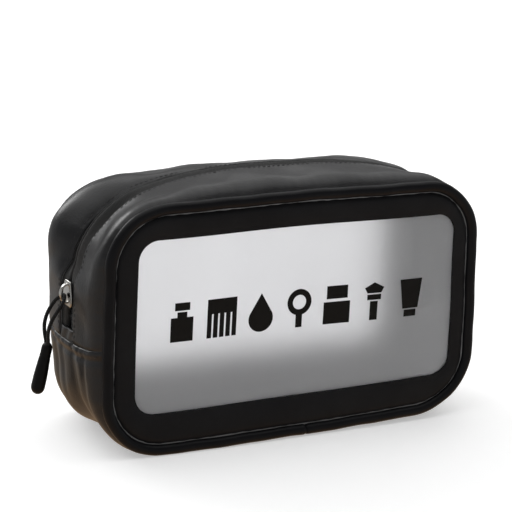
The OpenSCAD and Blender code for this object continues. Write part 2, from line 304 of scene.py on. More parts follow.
# Right-hand half of the loop, from inside the grip's top to the bridge, then its middle
CORD_HALF = [(-0.1254, 0.0015, 0.0525), (-0.1254, 0.0016, 0.0550), (-0.1259, 0.0024, 0.0595),
             (-0.1256, 0.0034, 0.0640), (-0.1240, 0.0042, 0.0685), (-0.1216, 0.0046, 0.0725),
             (-0.1190, 0.0042, 0.0760), (-0.1173, 0.0026, 0.0782), (-0.1167, 0.0012, 0.0790)]
CORD_TOP = (-0.1165, 0.0, 0.0792)
GRIP_TOP = Vector((-0.1254, 0.0, 0.0514))
GRIP_LEAN = math.radians(12.5)


def curve_through(points, per_span):
    """A smooth line through the points."""
    p = np.array(points, float)
    p = np.vstack([2 * p[0] - p[1], p, 2 * p[-1] - p[-2]])
    t = np.linspace(0, 1, per_span, endpoint=False)[:, None]
    spans = []
    for a, b, c, d in zip(p[:-3], p[1:-2], p[2:-1], p[3:]):
        spans.append(0.5 * ((2 * b) + (c - a) * t + (2 * a - 5 * b + 4 * c - d) * t ** 2
                            + (3 * b - a - 3 * c + d) * t ** 3))
    return np.vstack(spans + [p[-2:-1]])


def tube(name, line, radius, sides, up, materials):
    """A round tube along a line of points; up is any direction that the line never takes."""
    line = np.asarray(line, float)
    ahead = unit(np.gradient(line, axis=0))
    side = unit(np.cross(ahead, np.array(up, float)))
    above = np.cross(side, ahead)
    a = np.linspace(0, 2 * math.pi, sides, endpoint=False)
    r = np.broadcast_to(radius, len(line))[:, None, None]
    sections = (line[:, None] + r * (np.cos(a)[None, :, None] * side[:, None]
                                     + np.sin(a)[None, :, None] * above[:, None]))
    across = np.arange(sides) / sides * 2 * math.pi * float(np.max(radius))
    return loft(name, sections, materials=materials, uv=(lengths(line), across))


def make_cord(m):
    """Loop of cord from the grip, through the bridge and back."""
    route = [(x, -y, z) for x, y, z in CORD_HALF] + [CORD_TOP] + CORD_HALF[::-1]
    line = curve_through(route, 6)
    cord = tube("cord_loop", line, CORD_D / 2, 16, (1, 0, 0), [m["cord"]])
    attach(cord, "cord")
    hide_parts("pull_cord")


def turned(name, profile, steps, materials):
    """A shape turned about Z from (radius, height) rows that start and end on the axis."""
    a = np.linspace(0, 2 * math.pi, steps, endpoint=False)
    profile = np.asarray(profile, float)
    sections = np.stack([profile[None, :, 0] * np.cos(a)[:, None],
                         profile[None, :, 0] * np.sin(a)[:, None],
                         np.broadcast_to(profile[None, :, 1], (steps, len(profile)))], axis=-1)
    return loft(name, sections, ring=False, closed=True, materials=materials)


def make_grip(m):
    """Moulded grip: a tapered capsule with two shallow rings below its neck."""
    top_r, end_r, run = 0.0032, 0.0041, 0.021
    shank = []
    for t in np.linspace(0, 1, 40)[1:-1]:
        z = -run * t
        ring = sum(math.exp(-((z - c) / 0.00035) ** 2) for c in (-0.0030, -0.0048))
        shank.append((top_r + (end_r - top_r) * smooth(t * 1.15) - 0.00022 * ring, z))
    profile = np.vstack([arc(0, 0, top_r, 90, 0, 12), shank, arc(0, -run, end_r, 0, -90, 14)])
    grip = turned("moulded_grip", profile, 48, [m["grip"]])
    flatten = Matrix.Diagonal((0.86, 1.0, 1.0, 1.0))
    grip.data.transform(Matrix.Translation(GRIP_TOP) @ Matrix.Rotation(GRIP_LEAN, 4, "Y") @ flatten)
    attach(grip, "grip")
    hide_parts("pull_grip")


# ---- leather -----------------------------------------------------------------

def crown_at(y, s):
    """How far the gusset stands outside the outline. It is puffed next to the piping, rises along
    the top, sinks round the upper corners, fills out at the back of the ends, and has a low ridge
    where the tapes meet."""
    y, s = np.broadcast_arrays(np.asarray(y, float), np.mod(s, PERIMETER))
    t = np.clip(np.abs(y) / GUSSET_END, 0, 1)
    across = 1 - t ** 2                                 # 1 at the zip, 0 at the piping
    up = np.minimum(s, PERIMETER - s)                   # length from the base's middle, either way
    behind = y > 0
    strength = np.where(s > PERIMETER / 2, 1.0, 0.75)   # full at the left end
    above_slider = smooth((up - 0.180) / 0.012)
    top = smooth((up - 0.247) / 0.06)
    # The even bulge, with its shoulders beside the piping
    shoulder = 1 - (1 - np.clip((1 - t) / 0.27, 0, 1)) ** 1.6
    puff = CROWN * (0.76 * shoulder + 0.24 * across)
    # The top rises, mostly in front of the zip, and the upper corners sink
    sink = bell(up, 0.2236, 0.031) * above_slider * strength
    lift = 0.0024 * top * (1 - 0.7 * smooth(y / 0.012)) * across
    lift -= 0.0110 * sink * across * (1 - 0.6 * behind * smooth((t - 0.2) / 0.5))
    # The back half of the ends fills out at mid height
    full = smooth((up - 0.125) / 0.03) * (1 - smooth((up - 0.20) / 0.05)) * strength
    lift += 0.0030 * full * behind * 2 * t * np.sqrt(across)
    # The lower corners fall in, at the front a little farther up than at the back
    rearward = smooth((y + 0.012) / 0.016)
    lift -= 0.0060 * (1 - rearward) * bell(up, 0.103, 0.021) * across
    lift -= 0.0058 * rearward * bell(up, 0.091, 0.014) * across
    # The tapes stand up in a ridge, with a dip behind it
    ridge = (0.0016 + 0.0026 * bell(up, 0.2250, 0.024)) * above_slider
    dip = 0.0030 * above_slider * (1 - 0.7 * top) * bell(y, 0.0062, 0.0040)
    return puff + lift + ridge * (1 - smooth(np.abs(y) / SLOT_HALF)) - dip


def seam_height(y):
    """Height of the seam between the upper strips and the lower gusset."""
    return SEAM_Z - 0.0012 + 0.0048 * (y / HALF_D) ** 2


def dense_ends(length, step, finest=0.0003):
    """Shares of a length from 0 to 1, closer together towards both ends."""
    ends = [0.0]
    while ends[-1] + finest < length / 2 and finest < step:
        ends.append(ends[-1] + finest)
        finest *= 1.35
    count = int((length - 2 * ends[-1]) / step)
    middle = np.linspace(ends[-1], length - ends[-1], max(count, 2))[1:-1]
    return np.concatenate([ends, middle, length - np.array(ends[::-1])]) / length


def zip_strip(name, side, seed, m):
    """One half of the upper gusset, with a folded edge along the zip. side is -1 at the front."""
    hem_y = SLOT_HALF + EDGE_R
    outer_y = GUSSET_END - (GUSSET_END - hem_y) * dense_ends(GUSSET_END - hem_y, 0.0012, 0.0004)
    fold = arc(hem_y, -EDGE_R, EDGE_R, 100, 260, 7)
    inner_y = np.linspace(hem_y + 0.0004, GUSSET_END, 16)
    inner_out = -SHEET_T * 0.8 - 0.0004 * (1 - smooth((inner_y - hem_y - 0.006) / 0.002))
    ys = np.concatenate([outer_y, fold[:, 0], inner_y])
    outs = np.concatenate([np.zeros(len(outer_y)), fold[:, 1], inner_out])
    start = right_end_s(seam_height(ys) - TUCK)
    stop = left_end_s(seam_height(ys) - TUCK)
    share = dense_ends(STRIP_RUN, 0.0011)[:, None]
    s = start + (stop - start) * share
    y = np.array(np.broadcast_to(ys, s.shape))
    out = outs + crown_at(side * y, s)
    from_hem, from_piping = y - SLOT_HALF, GUSSET_END - y
    pucker, tuck = ripple(seed, 0.0042, 0.0068, 0.0115), ripple(seed + 1, 0.006, 0.0095)
    wave, drift = ripple(seed + 2, 0.047, 0.083), ripple(seed + 3, 0.021, 0.034)
    # Puckers at the hem, tucks and a sunk edge at the piping, slow waves in between
    out += 0.00016 * pucker(s) * np.exp(-from_hem / 0.0028)
    out += 0.00024 * tuck(s) * np.exp(-from_piping / 0.0035)
    out -= GROOVE * bell(from_piping, 0, 0.0022)
    middle = np.sin(math.pi * np.clip(from_hem / (GUSSET_END - SLOT_HALF), 0, 1))
    out += middle * (0.0006 * wave(s + 0.6 * y) + 0.00022 * drift(s - 0.8 * y))
    y += np.exp(-from_hem / 0.003) * (0.00010 * pucker(s + 0.001) + 0.00035 * drift(s))
    # Both ends go under the lower gusset
    out -= 0.0013 * (1 - smooth(np.minimum(s - start, stop - s) / 0.0042))
    sections = soften(along_outline(s, out, side * y))
    inner = (len(outer_y) + 3, len(ys))
    uv = (np.linspace(0, STRIP_RUN, len(share)), lengths(np.stack([ys, outs], 1)))
    return loft(name, sections, materials=[m["gusset_leather"], m["lining"]], inner=inner, uv=uv)


# Creases of the lower gusset's ends: y at the seam and lower down, depth, width, and how far down
# they reach
CREASES = [(-0.021, -0.024, 0.0010, 0.0030, 0.050), (-0.006, -0.013, 0.0013, 0.0034, 0.044),
           (0.007, 0.001, 0.0009, 0.0026, 0.036), (0.017, 0.016, 0.0014, 0.0036, 0.048)]


def lower_gusset(m):
    """Bottom and lower ends in one length; it lies flat where the bag stands."""
    outer_y = -GUSSET_END + 2 * GUSSET_END * dense_ends(2 * GUSSET_END, 0.0013, 0.0004)
    inner_y = np.linspace(GUSSET_END, -GUSSET_END, 30)
    ys = np.concatenate([outer_y, inner_y])
    depth = np.concatenate([np.zeros(len(outer_y)), np.full(len(inner_y), SHEET_T * 0.85)])
    start = left_end_s(seam_height(ys))
    stop = PERIMETER + right_end_s(seam_height(ys))
    share = dense_ends(LOWER_RUN, 0.0013)[:, None]
    s = start + (stop - start) * share
    y = np.array(np.broadcast_to(ys, s.shape))
    deep = np.array(np.broadcast_to(depth, s.shape))
    from_seam = np.minimum(s - start, stop - s)
    from_piping = GUSSET_END - np.abs(y)
    end_side = np.where(outline(s)[0] < 0, 1.0, -1.0)
    out = crown_at(y, s)
    for at_seam, at_foot, depth_in, width, reach in CREASES:
        down = np.clip(from_seam / reach, 0, 1)
        line = end_side * (at_seam + (at_foot - at_seam) * down)
        fade = np.sin(math.pi * np.clip((from_seam + 0.004) / (reach + 0.004), 0, 1)) ** 0.7
        out -= depth_in * fade * bell(y, line, width)
    pucker, tuck = ripple(41, 0.0048, 0.0077), ripple(42, 0.006, 0.0098)
    wave = ripple(43, 0.05, 0.09)
    # Puckers at the seam, its rolled edge and the groove below it
    out += (0.0004 * pucker(y) - 0.0002) * np.exp(-from_seam / 0.0045)
    out += 0.0005 * bell(from_seam, 0.0022, 0.0016)
    out -= 0.0006 * bell(from_seam, 0.0052, 0.0014)
    out += 0.00024 * tuck(s) * np.exp(-from_piping / 0.0035)
    out -= GROOVE * bell(from_piping, 0, 0.0022)
    out += 0.0005 * wave(s + 0.5 * y) * smooth(from_piping / 0.012)
    # Rounded edge at the seam, then the flat foot
    round_edge = np.clip(1 - from_seam / 0.0007, 0, 1)
    half = SHEET_T * 0.42
    out -= deep + np.where(deep > 0, -half, half) * (1 - np.sqrt(1 - round_edge ** 2))
    sections = along_outline(s, out, y)
    lowest = 0.00015 + deep * 0.9
    above = sections[..., 2] - lowest
    sections[..., 2] = lowest + 0.5 * (above + np.sqrt(above ** 2 + 0.0009 ** 2))
    sections = soften(sections)
    inner = (len(outer_y), len(ys) - 1)
    uv = (np.linspace(0, LOWER_RUN, len(share)), lengths(np.stack([ys, -depth], 1)))
    return loft("lower_gusset_leather", sections, inner=inner, uv=uv,
                materials=[m["gusset_leather"], m["lining"]])


def end_tab(name, left, m):
    """Folded tab over a zip end."""
    ys = np.linspace(-SLOT_HALF + 0.0004, SLOT_HALF - 0.0004, 15)
    zs = SEAM_Z - 0.003 + 0.0085 * dense_ends(0.0085, 0.0009, 0.0002)
    thick = 0.0011
    rows = []
    for z in zs:
        lift = np.sqrt(np.clip(1 - np.clip(1 - (zs[-1] - z) / 0.0006, 0, 1) ** 2, 0, 1))
        fold = 0.00025 * np.sin(ys * 900 + z * 500) * lift
        s = left_end_s(z) if left else right_end_s(z)
        floor = crown_at(ys, s) - TAPE_SINK + 0.0001
        face = floor + (thick + fold) * max(lift, 0.05)
        sag = 0.0005 * (1 - (ys / SLOT_HALF) ** 2)
        top = along_outline(s, face - 0.0002 * np.abs(ys / SLOT_HALF) ** 6, ys)
        under = along_outline(s, floor[::-1], ys[::-1])
        top[:, 2] -= sag
        under[:, 2] -= sag[::-1]
        rows.append(np.vstack([top, under]))
    return loft(name, soften(np.array(rows)), materials=[m["gusset_leather"]])


# ---- zip tapes ---------------------------------------------------------------

def slit_half(s):
    """Half of the slit between the tapes: nearly closed, but gaping under the slider."""
    z = HEIGHT - CORNER_R - (s - left_end_s(HEIGHT - CORNER_R))
    below = smooth((slider_low.z + 0.003 - z) / 0.007) * smooth((z - SEAM_Z + 0.002) / 0.006)
    return 0.00025 + 0.0022 * below * (s > PERIMETER / 2)


def zip_tape(name, side, seed, m):
    """Woven tape from under the leather to the slit, where it turns down round the coil."""
    lip_r = 0.0017
    share_y = dense_ends(TAPE_FAR, 0.0012, 0.0003)[::-1]
    start, stop = right_end_s(SEAM_Z - 0.001), left_end_s(SEAM_Z - 0.001)
    s = start + (stop - start) * dense_ends(STRIP_RUN, 0.0013)[:, None]
    gap = slit_half(s)
    far = np.linspace(TAPE_FAR, 0, 14)[:-1][None, :]
    flat = gap + lip_r + (TAPE_FAR - gap - lip_r) * (far / TAPE_FAR)
    lip = arc(0, 0, 1, 90, 215, 7)
    outer_lip_y = gap + lip_r + lip_r * lip[None, :, 0]
    outer_lip_n = -lip_r + lip_r * lip[None, :, 1]
    inner_r = lip_r - TAPE_T * 0.75
    inner_lip_y = gap + lip_r + inner_r * lip[None, ::-1, 0]
    inner_lip_n = -lip_r + inner_r * lip[None, ::-1, 1]
    y = np.concatenate([flat, outer_lip_y + 0 * s, inner_lip_y + 0 * s, flat[:, ::-1]], axis=1)
    sink = np.concatenate([0 * flat, outer_lip_n + 0 * s, inner_lip_n + 0 * s,
                           0 * flat - TAPE_T * 0.75], axis=1)
    wave = ripple(seed, 0.009, 0.017)
    sink = sink + 0.00012 * wave(s) * np.exp(-(y - gap) / 0.004)
    sections = soften(along_outline(s, crown_at(side * y, s) - TAPE_SINK + sink, side * y))
    across = lengths(np.stack([y[0], sink[0]], 1))
    return loft(name, sections, materials=[m["tape"]], uv=(s[:, 0] - s[0, 0], across))


# ---- panels, windows and piping ----------------------------------------------

def rect_point(u, half_w, low, high, r, x0=0.0):
    """Point of a round-cornered rectangle; u counts its nine stretches from the base's middle,
    as outline() does, so points with one u match on different rectangles."""
    run, side = half_w - r, high - low - 2 * r
    part = [np.clip(u - k, 0, 1) for k in range(9)]
    turn = part[1] + part[3] + part[5] + part[7]
    angle = np.radians(-90 + 90 * turn)
    cx = run * part[0] - 2 * run * part[4] + run * part[8]
    cz = low + r + side * (part[2] - part[6])
    return x0 + cx + r * np.cos(angle), cz + r * np.sin(angle)


U_MARKS = np.cumsum([0, RUN, ARC, SIDE, ARC, 2 * RUN, ARC, SIDE, ARC, RUN])


def stretch_number(s):
    """Length along the outline turned into rect_point()'s count of stretches."""
    return np.interp(s, U_MARKS, np.arange(10))


WINDOW = dict(half_w=(film_high.x - film_low.x) / 2 - FILM_LAP, low=film_low.z + FILM_LAP,
              high=film_high.z - FILM_LAP, r=WINDOW_R, x0=(film_low.x + film_high.x) / 2)


def film_bulge(x, z):
    """How far the film stands out of its own plane."""
    dx = (x - WINDOW["x0"]) / WINDOW["half_w"]
    mid = (WINDOW["low"] + WINDOW["high"]) / 2
    dz = (z - mid) / (WINDOW["high"] - mid)
    inside = np.clip(1 - dx ** 2, 0, 1) * np.clip(1 - dz ** 2, 0, 1)
    return inside * (0.0014 + 0.0004 * np.sin(34 * x + 1.0) * np.cos(29 * z))


def panel(name, side, seed, m):
    """Leather border between the piping and the window, rolled in at both edges."""
    s = np.linspace(0, PERIMETER, 521)[:-1][:, None]
    u = stretch_number(s)
    inset = 2 * PIPING_R - 0.0007
    ox, oz = rect_point(u, HALF_W - inset, inset, HEIGHT - inset, CORNER_R - inset)
    wx, wz = rect_point(u, **WINDOW)
    usual_width = 0.013
    share = dense_ends(usual_width, 0.0014, 0.0002)[None, :]
    width = np.hypot(wx - ox, wz - oz)
    x, z = ox + (wx - ox) * share, oz + (wz - oz) * share
    face = PIPING_Y + SHEET_T + 0 * x
    from_piping, from_window = width * share, width * (1 - share)
    tuck, wave = ripple(seed, 0.0065, 0.0101), ripple(seed + 1, 0.043, 0.071)
    # Sunk and tucked edge at the piping, soft waves, a pressed line and a rolled edge at the window
    face -= GROOVE * bell(from_piping, 0, 0.0019)
    face += 0.00020 * tuck(s) * np.exp(-from_piping / 0.003)
    face += 0.00030 * wave(s) * np.sin(math.pi * share)
    face += 0.00045 * np.sin(math.pi * share) ** 0.8
    face -= 0.00012 * bell(from_window, 0.0022, 0.00045)
    face -= SHEET_T * 0.35 * (1 - np.sqrt(1 - np.clip(1 - from_window / 0.0006, 0, 1) ** 2))
    back = np.minimum(PIPING_Y + 0.00005, face - SHEET_T * 0.6)
    xs = np.concatenate([x, x[:, ::-1]], axis=1)
    zs = np.concatenate([z, z[:, ::-1]], axis=1)
    ys = np.concatenate([face, back], axis=1)
    sections = soften(np.stack([xs, side * ys, zs], axis=-1))
    inner = (x.shape[1], 2 * x.shape[1] - 1)
    across = share[0] * usual_width
    uv = (s[:, 0], np.concatenate([across, across[-1] + SHEET_T + across]))
    return loft(name, sections, closed=True, inner=inner, uv=uv,
                materials=[m["panel_leather"], m["lining"]])


def film(name, side, m):
    """Frosted film, held behind the border."""
    s = np.linspace(0, PERIMETER, 321)[:-1][:, None]
    x, z = rect_point(stretch_number(s), WINDOW["half_w"] + FILM_LAP, WINDOW["low"] - FILM_LAP,
                      WINDOW["high"] + FILM_LAP, WINDOW["r"] + FILM_LAP, WINDOW["x0"])
    mid_x, mid_z = WINDOW["x0"], (WINDOW["low"] + WINDOW["high"]) / 2
    share = np.concatenate([np.linspace(0, 0.92, 26), [0.96, 0.98, 1.0]])[None, :]
    xs, zs = mid_x + (x - mid_x) * share, mid_z + (z - mid_z) * share
    bulge = film_bulge(xs, zs)
    front = np.stack([xs, side * (PIPING_Y + bulge), zs], axis=-1)
    rear = np.stack([xs, side * (PIPING_Y - FILM_T + bulge), zs], axis=-1)
    sections = soften(np.concatenate([front, rear[:, ::-1]], axis=1))
    return loft(name, sections, ring=False, closed=True, materials=[m["film"]])


def ring_tube(name, side, radius, seed, joint_x, m_name, m):
    """Tube along the whole outline at one face of the bag, with a butt joint at the bottom."""
    gap = 0.00005
    s = np.linspace(joint_x + gap, PERIMETER + joint_x - gap, 560)[:, None]
    a = np.linspace(0, 2 * math.pi, 20, endpoint=False)[None, :]
    from_joint = np.minimum(s - s[0], s[-1] - s)
    uneven = ripple(seed, 0.011, 0.019, 0.037)
    r = radius * (1 + 0.018 * uneven(s)) * (1 - 0.05 * bell(from_joint, 0, 0.0012))
    r = np.where(from_joint < 1e-5, r * 0.93, r)
    wander = 0.00022 * ripple(seed + 1, 0.027, 0.061)(s)
    out = -PIPING_R + wander + r * np.cos(a)
    sections = soften(along_outline(s + 0 * a, out, side * (PIPING_Y + r * np.sin(a))))
    sections[..., 2] = np.maximum(sections[..., 2], 0.0)
    uv = (s[:, 0] - s[0, 0], a[0] * radius)
    return loft(name, sections, materials=[m[m_name]], uv=uv)


def binding(name, side, m):
    """Woven tape folded over the inner seam."""
    low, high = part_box("back_binding")
    out = high.x - HALF_W
    thick, width = 0.0022, high.y - low.y
    near = low.y
    corner = 0.0009
    loop = np.vstack([arc(near + width - corner, out - corner, corner, 90, 0, 4),
                      arc(near + width - corner, out - thick + corner, corner, 0, -90, 4),
                      arc(near + corner, out - thick + corner, corner, -90, -180, 4),
                      arc(near + corner, out - corner, corner, 180, 90, 4)])
    s = np.linspace(0, PERIMETER, 361)[:-1][:, None]
    uneven = ripple(77, 0.012, 0.02)
    sections = along_outline(s, loop[None, :, 1] + 0.0002 * uneven(s), side * loop[None, :, 0])
    across = lengths(loop)
    return loft(name, soften(sections), closed=True, materials=[m["binding"]],
                uv=(s[:, 0], across))


def window_motif(m):
    """The printed pictures, laid on the bulging film."""
    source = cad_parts["window_motif"]
    mesh = source.data.copy()
    mesh.name = "printed_motif"
    mesh.materials.clear()
    mesh.materials.append(m["ink"])
    obj = in_scene("printed_motif", mesh)
    bm = bmesh.new()
    bm.from_mesh(mesh)
    bmesh.ops.remove_doubles(bm, verts=bm.verts, dist=1e-6)
    longest = 0.005
    for _ in range(3):
        long_edges = [e for e in bm.edges if e.calc_length() > longest]
        if long_edges:
            bmesh.ops.subdivide_edges(bm, edges=long_edges, cuts=1)
            bmesh.ops.triangulate(bm, faces=bm.faces)
    bm.to_mesh(mesh)
    bm.free()
    p = np.array([v.co for v in mesh.vertices])
    p[:, 1] = p[:, 1] - film_bulge(p[:, 0], p[:, 2])
    mesh.vertices.foreach_set("co", soften(p).ravel())
    mesh.update()
    return obj


# ---- materials ---------------------------------------------------------------

class Nodes:
    """Short way to build a material's tree."""

    def __init__(self, name):
        self.material = bpy.data.materials.new(name)
        self.material.use_nodes = True
        self.tree = self.material.node_tree
        self.tree.nodes.clear()
        self.out = self.add("ShaderNodeOutputMaterial")

    def add(self, kind, inputs=None, **options):
        """A node with its options set, and its inputs given as values or sockets."""
        node = self.tree.nodes.new(kind)
        for key, value in options.items():
            setattr(node, key, value)
        for key, value in (inputs or {}).items():
            self.put(node.inputs[key], value)
        return node

    def put(self, socket, value):
        if isinstance(value, bpy.types.NodeSocket):
            self.tree.links.new(value, socket)
        else:
            socket.default_value = value

    def coords(self, scale=(1, 1, 1)):
        """Places in the piece, stretched by scale."""
        source = self.add("ShaderNodeTexCoord").outputs["Object"]
        return self.add("ShaderNodeMapping", {"Vector": source, "Scale": scale}).outputs[0]

    def cloth_axes(self):
        """Lengths along and across the piece, from its own UV map."""
        source = self.add("ShaderNodeTexCoord").outputs["UV"]
        return self.add("ShaderNodeSeparateXYZ", {0: source}).outputs[:2]

    def calc(self, operation, *values):
        return self.add("ShaderNodeMath", dict(enumerate(values)), operation=operation).outputs[0]

    def noise(self, at, scale, detail=3.0, rough=0.5):
        node = self.add("ShaderNodeTexNoise",
                        {"Vector": at, "Scale": scale, "Detail": detail, "Roughness": rough})
        return node.outputs["Fac"]

    def ramp(self, fac, low, high, a, b):
        """Maps fac between low and high to values between a and b."""
        node = self.add("ShaderNodeMapRange", {"Value": fac, "From Min": low, "From Max": high,
                                               "To Min": a, "To Max": b})
        return node.outputs[0]

    def mix(self, fac, a, b):
        node = self.add("ShaderNodeMix", {0: fac, 6: a, 7: b}, data_type="RGBA")
        return node.outputs[2]

    def bump(self, height, distance, strength=1.0, under=None):
        node = self.add("ShaderNodeBump",
                        {"Height": height, "Distance": distance, "Strength": strength})
        if under is not None:
            self.put(node.inputs["Normal"], under)
        return node.outputs[0]

    def principled(self, inputs):
        shader = self.add("ShaderNodeBsdfPrincipled", inputs)
        self.tree.links.new(shader.outputs[0], self.out.inputs[0])
        return shader


def grey(value, tint=0.0):
    """A grey; tint makes it a little bluer."""
    return (value, value, value + tint, 1.0)


def leather(name, dark, light, rough, grain, mirror):
    """Leather-look sheet with a fine pebbled grain and faint cloudy wear."""
    n = Nodes(name)
    at = n.coords()
    cells = n.add("ShaderNodeTexVoronoi", {"Vector": at, "Scale": 1150.0, "Randomness": 1.0},
                  feature="SMOOTH_F1").outputs["Distance"]
    pores = n.noise(at, 2600.0, 2.0)
    cloud = n.noise(at, 34.0, 4.0, 0.6)
    tone = n.mix(n.ramp(cloud, 0.35, 0.65, 0.0, 1.0), grey(dark, 0.001), grey(light, 0.001))
    shine = n.ramp(n.noise(at, 60.0, 3.0), 0.3, 0.7, rough - 0.05, rough + 0.06)
    creases = n.bump(n.noise(n.coords((1, 1, 0.45)), 120.0, 4.0, 0.62), 0.0004, 0.5)
    normal = n.bump(cells, 0.00012, grain, creases)
    normal = n.bump(pores, 0.00003, grain * 0.6, normal)
    n.principled({"Base Color": tone, "Roughness": shine, "Normal": normal,
                  "Specular IOR Level": mirror})
    return n.material


def weave(name, dark, light, pitch, rough, depth=0.0002):
    """Woven tape: ribs along and across in the piece's own coordinates."""
    n = Nodes(name)
    along, across = n.cloth_axes()

    def rib(socket, spacing):
        return n.calc("SINE", n.calc("MULTIPLY", socket, 2 * math.pi / spacing))

    cross = n.calc("MULTIPLY", rib(along, pitch), rib(across, pitch * 1.7))
    fluff = n.noise(n.coords(), 900.0, 3.0)
    tone = n.mix(n.ramp(cross, -1, 1, 0, 1), grey(dark), grey(light))
    normal = n.bump(fluff, 0.0001, 0.5, n.bump(cross, depth, 0.8))
    n.principled({"Base Color": tone, "Roughness": rough, "Normal": normal,
                  "Specular IOR Level": 0.25, "Sheen Weight": 0.05, "Sheen Roughness": 0.5})
    return n.material


def frosted_film():
    """Milky film: lets soft light through and hides what is behind it."""
    n = Nodes("frosted film")
    at = n.coords()
    cloud = n.noise(at, 16.0, 3.0, 0.5)
    tone = n.mix(n.ramp(cloud, 0.35, 0.65, 0.0, 1.0), (0.93, 0.93, 0.94, 1), (0.97, 0.97, 0.98, 1))
    grain = n.noise(at, 1500.0, 2.0)
    ripple_height = n.noise(n.coords((1, 1, 0.5)), 24.0, 2.0)
    normal = n.bump(grain, 0.00004, 0.5, n.bump(ripple_height, 0.0022, 0.35))
    n.principled({"Base Color": tone, "Roughness": 0.45, "Normal": normal,
                  "Transmission Weight": 0.82, "IOR": 1.25, "Specular IOR Level": 0.3})
    return n.material


def plain(name, colour, rough, metal=0.0, grain=0.0, scale=900.0, mirror=0.5):
    """A smooth finish with slightly uneven shine and, with grain, a fine surface."""
    n = Nodes(name)
    at = n.coords()
    shine = n.ramp(n.noise(at, scale * 0.2, 3.0), 0.3, 0.7, rough * 0.85, rough * 1.15)
    inputs = {"Base Color": colour, "Roughness": shine, "Metallic": metal,
              "Specular IOR Level": mirror}
    if grain:
        inputs["Normal"] = n.bump(n.noise(at, scale, 3.0), 0.0001, grain)
    n.principled(inputs)
    return n.material


def braid():
    """Two sets of strands that wind round the cord in opposite directions."""
    n = Nodes("braided cord")
    along, around = n.cloth_axes()
    along, around = n.calc("MULTIPLY", along, 2400.0), n.calc("MULTIPLY", around, 4000.0)
    strands = [n.calc("SINE", n.calc(way, along, around)) for way in ("ADD", "SUBTRACT")]
    over = n.calc("MULTIPLY", *strands)
    tone = n.mix(n.ramp(over, -1, 1, 0, 1), grey(0.003), grey(0.010))
    n.principled({"Base Color": tone, "Roughness": 0.6, "Specular IOR Level": 0.2,
                  "Normal": n.bump(over, 0.0002, 0.9), "Sheen Weight": 0.05})
    return n.material


def make_materials():
    """All finishes, by the name that the pieces use."""
    return {
        "panel_leather": leather("border leather", 0.0065, 0.009, 0.5, 0.35, 0.12),
        "gusset_leather": leather("gusset leather", 0.006, 0.010, 0.34, 0.5, 0.40),
        "piping": leather("piping leather", 0.004, 0.006, 0.36, 0.35, 0.12),
        "lining": weave("lining cloth", 0.16, 0.22, 0.0004, 0.75, 0.00008),
        "binding": weave("binding tape", 0.014, 0.03, 0.0009, 0.8),
        "tape": weave("zip tape", 0.008, 0.018, 0.00075, 0.6),
        "film": frosted_film(),
        "ink": plain("printing ink", grey(0.004), 0.5, grain=0.2, mirror=0.15),
        "core": plain("piping cord", grey(0.7), 0.7, grain=0.3),
        "coil": plain("zip nylon", grey(0.004), 0.4, mirror=0.3),
        "thread": plain("sewing thread", grey(0.016), 0.45, grain=0.4, scale=3000.0, mirror=0.5),
        "nickel": plain("bright nickel", (0.46, 0.45, 0.43, 1), 0.17, metal=1.0, grain=0.03),
        "cord": braid(),
        "grip": plain("moulded grip", grey(0.003), 0.42, grain=0.25, scale=1400.0, mirror=0.12),
    }


# ---- rows of small parts -----------------------------------------------------

